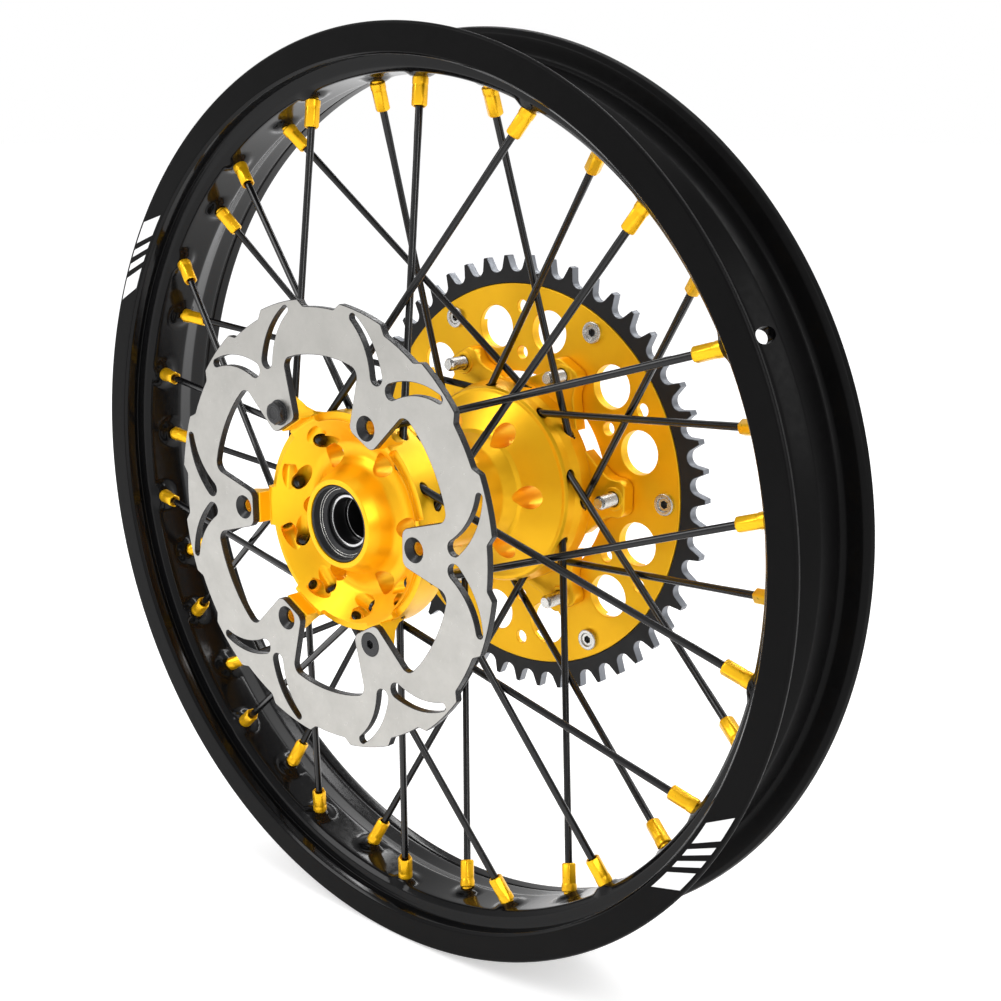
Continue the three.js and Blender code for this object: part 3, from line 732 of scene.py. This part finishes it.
def disc_outer():
    """Wave outline of twelve lobes."""
    recess = DISC_R - 3.8
    corners = []
    for k in range(12):
        lobe = 15 + 30 * k
        for r, swing, radius in ((recess, -9.3, 2.0), (DISC_R, -7.3, 1.6), (DISC_R, 7.3, 1.6),
                                 (recess, 9.3, 2.0)):
            p = polar(r, lobe + swing, 0)
            corners.append((p.x, p.z, radius))
            if swing == -7.3:
                for step in (-4.8, -2.4, 0, 2.4, 4.8):
                    q = polar(DISC_R, lobe + step, 0)
                    corners.append((q.x, q.z, 0))
        for step in (12, 15, 18):
            q = polar(recess, lobe + step, 0)
            corners.append((q.x, q.z, 0))
    return rounded(corners, step=15)


def disc_inner():
    """Edge of the ears and of the windows between them."""
    window_r = 90.5
    tip = (57.6, 9.4)
    foot = (88.6, 18.4)
    foot_angle = math.degrees(math.atan2(foot[1], foot[0]))
    corners = []
    for k in range(6):
        ear = 60 * k
        local = [(foot[0], -foot[1], 9), (tip[0], -tip[1], 5), (tip[0], tip[1], 5), (foot[0], foot[1], 9)]
        for x, z, radius in local:
            p = polar(math.hypot(x, z), ear + math.degrees(math.atan2(z, x)), 0)
            corners.append((p.x, p.z, radius))
        first, last = foot_angle + 7, 60 - foot_angle - 7
        for i in range(9):
            q = polar(window_r, ear + first + (last - first) * i / 8, 0)
            corners.append((q.x, q.z, 0))
    return rounded(corners, step=8)


def slot_contour(mirror, ear):
    """Curved slot that starts wide beside an ear and narrows outwards."""
    a, b, c = (np.array(p) for p in ((93.0, 6.0), (107.0, 17.0), (109.5, 34.0)))
    left, right = [], []
    for i in range(13):
        t = i / 12
        p = (1 - t) ** 2 * a + 2 * t * (1 - t) * b + t * t * c
        d = 2 * (1 - t) * (b - a) + 2 * t * (c - b)
        d /= np.linalg.norm(d)
        side = np.array([-d[1], d[0]]) * (4.1 - 2.0 * t)
        left.append(p + side)
        right.append(p - side)
    ends = []
    for centre, first, width in ((c, right[-1], 2.1), (a, left[0], 4.1)):
        start = math.atan2(*(first - centre)[::-1])
        ends.append([centre + width * np.array([math.cos(start + k * math.pi / 8),
                                                math.sin(start + k * math.pi / 8)]) for k in range(1, 8)])
    outline = [*right, *ends[0], *reversed(left), *ends[1]]
    turned = [polar(math.hypot(x, z), ear + mirror * math.degrees(math.atan2(z, x)), 0) for x, z in outline]
    return [(p.x, p.z) for p in turned]


def disc_solid():
    slots = [slot_contour(mirror, 60 * k) for k in range(6) for mirror in (1, -1)]
    body = plate([disc_outer(), disc_inner(), *slots], DISC_FACE, DISC_BACK, 0.35)
    sink = lathe_at(DISC_BOLT_R, [(0, DISC_FACE - 1), (7.6, DISC_FACE - 1), (6.6, DISC_FACE),
                                  (3.5, DISC_FACE + 3.1), (3.5, DISC_BACK + 1), (0, DISC_BACK + 1)], 64)
    return shaped(body, cut=[repeated(sink)])


def disc_pick(centres, normals):
    """Steel on the two faces, black on every edge."""
    return (np.abs(normals[:, 1]) < 0.93).astype(int)


piece("disc_rotor", disc_solid(), [disc_steel, oxide_black], ["brake_disc"],
      pick=disc_pick, sharp=20)


def disc_hex_bolt():
    y = DISC_FACE
    head = faceted([(4.2, y - 4.1, False), (5.4, y - 4.0, False), (6.3, y - 3.3, True),
                    (6.3, y - 0.4, True), (6.9, y - 0.3, False), (6.9, y - 0.05, False),
                    (3.0, y, False), (3.0, y + 10, False)], 6, 0.88)
    dish = lathe([(0, y - 6), (4.0, y - 6), (3.6, y - 3.7), (0, y - 3.5)], 48)
    points, faces = shaped(head, cut=[dish])
    return points + np.array(polar(DISC_BOLT_R, HEX_BOLT_ANGLE, 0)), faces


def disc_sink_bolt():
    y = DISC_FACE
    body = lathe([(0, y - 0.1), (6.0, y - 0.1), (6.25, y + 0.2), (3.3, y + 3.1), (3.3, y + 10),
                  (0, y + 10)], 64)
    socket = faceted([(2.6, y - 2, True), (2.6, y + 2.2, True)], 6, 0.867)
    points, faces = shaped(body, cut=[socket])
    return points + np.array(polar(DISC_BOLT_R, SINK_BOLT_ANGLE, 0)), faces


piece("disc_bolt_hex_head", disc_hex_bolt(), [oxide_black], ["disc_bolt_hex"])
piece("disc_bolt_sunk_head", disc_sink_bolt(), [oxide_black], ["disc_bolt_countersunk"])


# ------------------------------------------------------------------ sprocket

def tooth_contour():
    """Chain ring outline: round roller seats between straight-flanked teeth."""
    teeth, pitch, roller_r, tip_r, phase = 50, 15.875, 5.08, 130.9, 2.3
    pitch_r = pitch / (2 * math.sin(math.pi / teeth))
    outline = []
    for k in range(teeth):
        tip = phase + 360 * k / teeth
        for swing in (-0.55, 0.55):
            p = polar(tip_r, tip + swing, 0)
            outline.append((p.x, p.z))
        centre = polar(pitch_r, tip + 180 / teeth, 0)
        inward = math.atan2(-centre.z, -centre.x)
        for i in range(9):
            a = inward + math.radians(58 - 116 * i / 8)
            outline.append((centre.x + roller_r * math.cos(a), centre.z + roller_r * math.sin(a)))
    return outline


def ring_solid():
    """Toothed band, with a thinner lap and six ears that rest on the carrier."""
    lap = CARRIER_BACK - 2.6
    band = plate([tooth_contour(), circle(CARRIER_R + 0.3, count=240)], RING_FACE, RING_BACK, 0.45)
    inner = plate([circle(118, count=240), circle(108.5, count=240)], lap, RING_BACK, 0.3)
    ears = [bar(RING_BOLT_R, 60 * k, 7.5, lap + 0.02, RING_BACK - 0.02) for k in range(6)]
    holes = [bar(RING_BOLT_R, 60 * k, 3.2, RING_FACE - 5, RING_BACK + 5) for k in range(6)]
    return shaped(band, add=[inner, joined(ears)], cut=[joined(holes)])


def ring_pick(centres, normals):
    """Bare steel on the working edges of the teeth, black elsewhere."""
    radius = np.hypot(centres[:, 0], centres[:, 2])
    return ((np.abs(normals[:, 1]) < 0.9) & (radius > 119)).astype(int)


def carrier_solid():
    """Drilled plate with a thicker middle behind its front."""
    through = [circle(63.2, count=180)]
    for k in range(6):
        arm = 60 * k
        through += [circle(4.4, arm, SPROCKET_BOLT_R, 40), circle(12.6, arm - 17.1, 90.2),
                    circle(12.6, arm + 17.1, 90.2), circle(3.9, arm + 30, 101.3, 40),
                    circle(3.9, arm + 30, 74.4, 40)]
    through += [circle(3.2, 60 * k, RING_BOLT_R, 32) for k in range(6)]
    step = CARRIER_BACK - 2.9
    front = plate([circle(CARRIER_R, count=240), *through], CARRIER_FACE, step, 0.4)
    thick_holes = [drilled(0, 63.2, step - 0.2, 90, 180)]
    for at, swing, r in ((SPROCKET_BOLT_R, 0, 4.4), (90.2, -17.1, 12.6), (90.2, 17.1, 12.6), (74.4, 30, 3.9)):
        thick_holes.append(repeated(spun(drilled(at, r, step - 3, 90, 72), swing)))
    thick = shaped(lathe(rounded([(50, step - 0.1, 0), (96.5, step - 0.1, 0), (96.5, CARRIER_BACK, 0.6),
                                  (50, CARRIER_BACK, 0)]), 240), cut=thick_holes)
    return shaped(front, add=[thick])


def ring_screw():
    """Button head screw and washer that hold the toothed ring on its carrier."""
    y = CARRIER_FACE
    body = lathe(rounded([(0, y - 1.3, 0), (3.7, y - 1.3, 0.2), (4.1, y - 2.3, 0.3), (6.3, y - 2.3, 0.7),
                          (6.3, y - 0.02, 0), (3.0, y - 0.02, 0), (3.0, y + 5.6, 0), (0, y + 5.6, 0)]), 64)
    socket = faceted([(2.5, y - 4, True), (2.5, y + 0.4, True)], 6, 0.867)
    points, faces = shaped(body, cut=[socket])
    return points + np.array([RING_BOLT_R, 0, 0]), faces


def socket_shade_pick(angle):
    """Second material, black, in the hexagon socket of the ring screw at an angle: painted shade in the
    recess.
    """
    middle = np.array(polar(RING_BOLT_R, angle, 0))
    def pick(centres, normals):
        offset = centres - middle
        return np.hypot(offset[:, 0], offset[:, 2]) < 2.35
    return pick


def sprocket_bolt():
    """Threaded end in front of the arm, shank, and hexagon head with flange behind the carrier."""
    y = CARRIER_BACK + 0.1
    side = thread(BOLT_LOW + 1.2, 77, 3.7, 1.25, 0.3)
    shank = lathe([(0, BOLT_LOW), (2.9, BOLT_LOW), (3.4, BOLT_LOW + 0.9), *side, (4.0, 78),
                   (4.0, y + 0.2), (0, y + 0.2)], 40)
    head = faceted([(7.2, y, False), (7.2, y + 0.9, False), (6.9, y + 1.3, False), (6.4, y + 1.6, True),
                    (6.4, BOLT_HIGH - 0.7, True), (5.5, BOLT_HIGH, False)], 6, 0.88)
    points, faces = shaped(head, add=[shank])
    return points + np.array([SPROCKET_BOLT_R, 0, 0]), faces


piece("sprocket_teeth", ring_solid(), [ring_black, tooth_steel], ["sprocket_ring"],
      pick=ring_pick, sharp=20)
piece("sprocket_plate", carrier_solid(), [gold_brushed], ["sprocket_carrier"], sharp=20)
for k in range(6):
    # the black socket of each ring screw is painted shade in the recess
    piece(f"ring_screw_{k + 1}", spun(ring_screw(), 60 * k), [bare_steel, oxide_black],
          pick=socket_shade_pick(60 * k))
    piece(f"sprocket_bolt_long_{k + 1}", spun(sprocket_bolt(), 60 * k), [bare_steel],
          [f"sprocket_bolt_{k + 1}"])


# ------------------------------------------------------------------ bearings and seals

def turned_ring(corners, count=128):
    return lathe(rounded(corners), count)


def end_pick(inner_r, outer_r):
    """First material on end faces between two radii, second material (painted shade) elsewhere."""
    def pick(centres, normals):
        radius = np.hypot(centres[:, 0], centres[:, 2])
        return ~((np.abs(normals[:, 1]) > 0.6) & (radius > inner_r) & (radius < outer_r))
    return pick


for side, sign in (("disc", -1), ("drive", 1)):
    low, high = node_box(f"bearing_inner_race_{side}")
    face = low.y if sign < 0 else high.y

    def out(distance):
        """y at a distance outwards from the bearing's outer face."""
        return face + sign * distance

    race_r, cup_r = high.x, node_box(f"bearing_outer_race_{side}")[1].x
    middle = (low.y + high.y) / 2
    half = (high.y - low.y) / 2
    race = [(race_r - 0.8, middle, 0.8), (race_r, middle + 1.6, 0.8), (race_r, middle + half, 0.3),
            (RACE_LAND_R, middle + half, 0), (BEARING_BORE_R, middle + half, 0.6),
            (BEARING_BORE_R, middle - half, 0.6), (RACE_LAND_R, middle - half, 0),
            (race_r, middle - half, 0.3), (race_r, middle - 1.6, 0.8)]
    # the inner race is dark everywhere but its end lands: painted shade inside the bore
    piece(f"inner_race_{side}", turned_ring(race), [bearing_steel, bore_steel_painted_shade],
          [f"bearing_inner_race_{side}"], body="root", pick=end_pick(BEARING_BORE_R + 0.3, RACE_LAND_R))
    cup = [(CUP_INNER_R, low.y, 0.3), (cup_r, low.y, 0.5), (cup_r, high.y, 0.5), (CUP_INNER_R, high.y, 0.3)]
    piece(f"outer_race_{side}", turned_ring(cup), [bearing_steel],
          [f"bearing_outer_race_{side}"])
    piece(f"shield_{side}", turned_ring([(race_r + 0.25, out(-0.3), 0.2), (18.5, out(-0.3), 0.2),
                                         (18.5, out(-1.1), 0.1), (race_r + 0.25, out(-1.1), 0.1)]),
          [shield_black])
    seal_low, seal_high = node_box(f"seal_{side}")
    mouth = seal_low.y if sign < 0 else seal_high.y
    seal = [(cup_r, mouth, 0.4), (19.4, mouth, 0.6), (19.1, out(3.4), 0.5), (17.6, out(2.6), 0.5),
            (16.4, out(1.9), 0.3), (15.7, out(1.5), 0.2), (15.7, out(0.4), 0.1), (cup_r, out(0.4), 0)]
    piece(f"seal_lip_{side}", turned_ring(seal), [seal_rubber], [f"seal_{side}"])
    for name, r, at in (("case", 19.0, 3.5), ("spring", 17.9, 2.9)):
        wire = turned_ring([(r - 0.25, out(at - 0.3), 0.2), (r + 0.25, out(at - 0.3), 0.2),
                            (r + 0.25, out(at + 0.2), 0.2), (r - 0.25, out(at + 0.2), 0.2)])
        piece(f"seal_{name}_{side}", wire, [bare_steel])
    row_r = (race_r + CUP_INNER_R) / 2
    ball_outline = [(BALL_R * math.cos(a), BALL_R * math.sin(a))
                    for a in np.linspace(-math.pi / 2, math.pi / 2, 13)]
    points, faces = lathe(ball_outline, 24)
    ball = (points + np.array([row_r, middle, 0]), faces)
    cage = turned_ring([(row_r - 0.5, middle - 2.6, 0.2), (row_r + 0.5, middle - 2.6, 0.2),
                        (row_r + 0.5, middle + 2.6, 0.2), (row_r - 0.5, middle + 2.6, 0.2)])
    row = shaped(cage, add=[repeated(ball, BALL_COUNT)])
    piece(f"ball_row_{side}", row, [bearing_steel], [f"bearing_balls_{side}"],
          body=f"balls_{side}")

tube_low, tube_high = node_box("spacer_tube")
tube = [(SPACER_BORE_R, tube_low.y, 0.2), (SPACER_LAND_R, tube_low.y, 0), (tube_high.x, tube_low.y, 0.4),
        (tube_high.x, tube_high.y, 0.4), (SPACER_LAND_R, tube_high.y, 0), (SPACER_BORE_R, tube_high.y, 0.2)]
# the spacer is dark everywhere but its end lands: painted shade inside the bore
piece("spacer_sleeve", turned_ring(tube), [bearing_steel, bore_steel_painted_shade], ["spacer_tube"],
      body="root", pick=end_pick(SPACER_BORE_R, SPACER_LAND_R))


# ------------------------------------------------------------------ stage, light and camera

def floor():
    mesh = bpy.data.meshes.new("floor")
    size = 30.0
    corners = [(-size, -size, 0), (size, -size, 0), (size, size, 0), (-size, size, 0)]
    mesh.from_pydata(corners, [], [[0, 1, 2, 3]])
    made = bpy.data.materials.new("floor_paper")
    made.use_nodes = True
    shader = made.node_tree.nodes["Principled BSDF"]
    shader.inputs["Base Color"].default_value = (0.86, 0.86, 0.86, 1)
    shader.inputs["Roughness"].default_value = 0.9
    shader.inputs["Emission Color"].default_value = (1, 1, 1, 1)
    shader.inputs["Emission Strength"].default_value = 0.45
    mesh.materials.append(made)
    thing = bpy.data.objects.new("floor", mesh)
    thing.location = (0, 0, cad_low.z)
    bpy.context.scene.collection.objects.link(thing)
    thing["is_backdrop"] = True


def area_light(name, place, size, power, aim=(0, 0, 0)):
    light = bpy.data.lights.new(name, "AREA")
    light.shape = "RECTANGLE"
    light.size, light.size_y = size
    light.energy = power
    thing = bpy.data.objects.new(name, light)
    thing.location = place
    thing.rotation_mode = "QUATERNION"
    thing.rotation_quaternion = (Vector(aim) - Vector(place)).to_track_quat("-Z", "Y")
    bpy.context.scene.collection.objects.link(thing)


def world():
    """White round the horizon, so that the backdrop is plain, and a softer grey overhead."""
    made = bpy.data.worlds.new("studio")
    made.use_nodes = True
    tree = made.node_tree
    back = tree.nodes["Background"]
    place = node(tree, "ShaderNodeTexCoord")
    split = node(tree, "ShaderNodeSeparateXYZ")
    tree.links.new(place.outputs["Generated"], split.inputs["Vector"])
    ramp = node(tree, "ShaderNodeValToRGB")
    ramp.color_ramp.elements[0].position = 0.13
    ramp.color_ramp.elements[0].color = (1.0, 1.0, 1.0, 1)
    ramp.color_ramp.elements[1].position = 0.6
    ramp.color_ramp.elements[1].color = (0.62, 0.62, 0.63, 1)
    tree.links.new(split.outputs["Z"], ramp.inputs["Fac"])
    tree.links.new(ramp.outputs["Color"], back.inputs["Color"])
    bpy.context.scene.world = made


floor()
area_light("key", (-1.1, -1.5, 1.5), (0.9, 1.2), 17)
area_light("side", (1.7, -0.5, 0.9), (0.4, 1.4), 14)
area_light("top", (0.1, 0.3, 1.9), (1.4, 1.0), 8)
area_light("back", (0, 1.6, 1.5), (3.0, 0.12), 16)
world()

CAMERA_PLACE = (0.574563, -0.591458, 0.205401)
CAMERA_AZIMUTH, CAMERA_ELEVATION = math.radians(41.486), math.radians(14.044)
CAMERA_LENS = 54.4
camera = bpy.data.cameras.new("camera")
camera.lens = CAMERA_LENS
camera.sensor_width = 36
camera.clip_start, camera.clip_end = 0.01, 100
camera_thing = bpy.data.objects.new("camera", camera)
camera_thing.location = CAMERA_PLACE
camera_thing.rotation_euler = (math.pi / 2 - CAMERA_ELEVATION, 0, CAMERA_AZIMUTH)
bpy.context.scene.collection.objects.link(camera_thing)
bpy.context.scene.camera = camera_thing
bpy.context.scene.view_settings.view_transform = "Standard"

low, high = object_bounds()
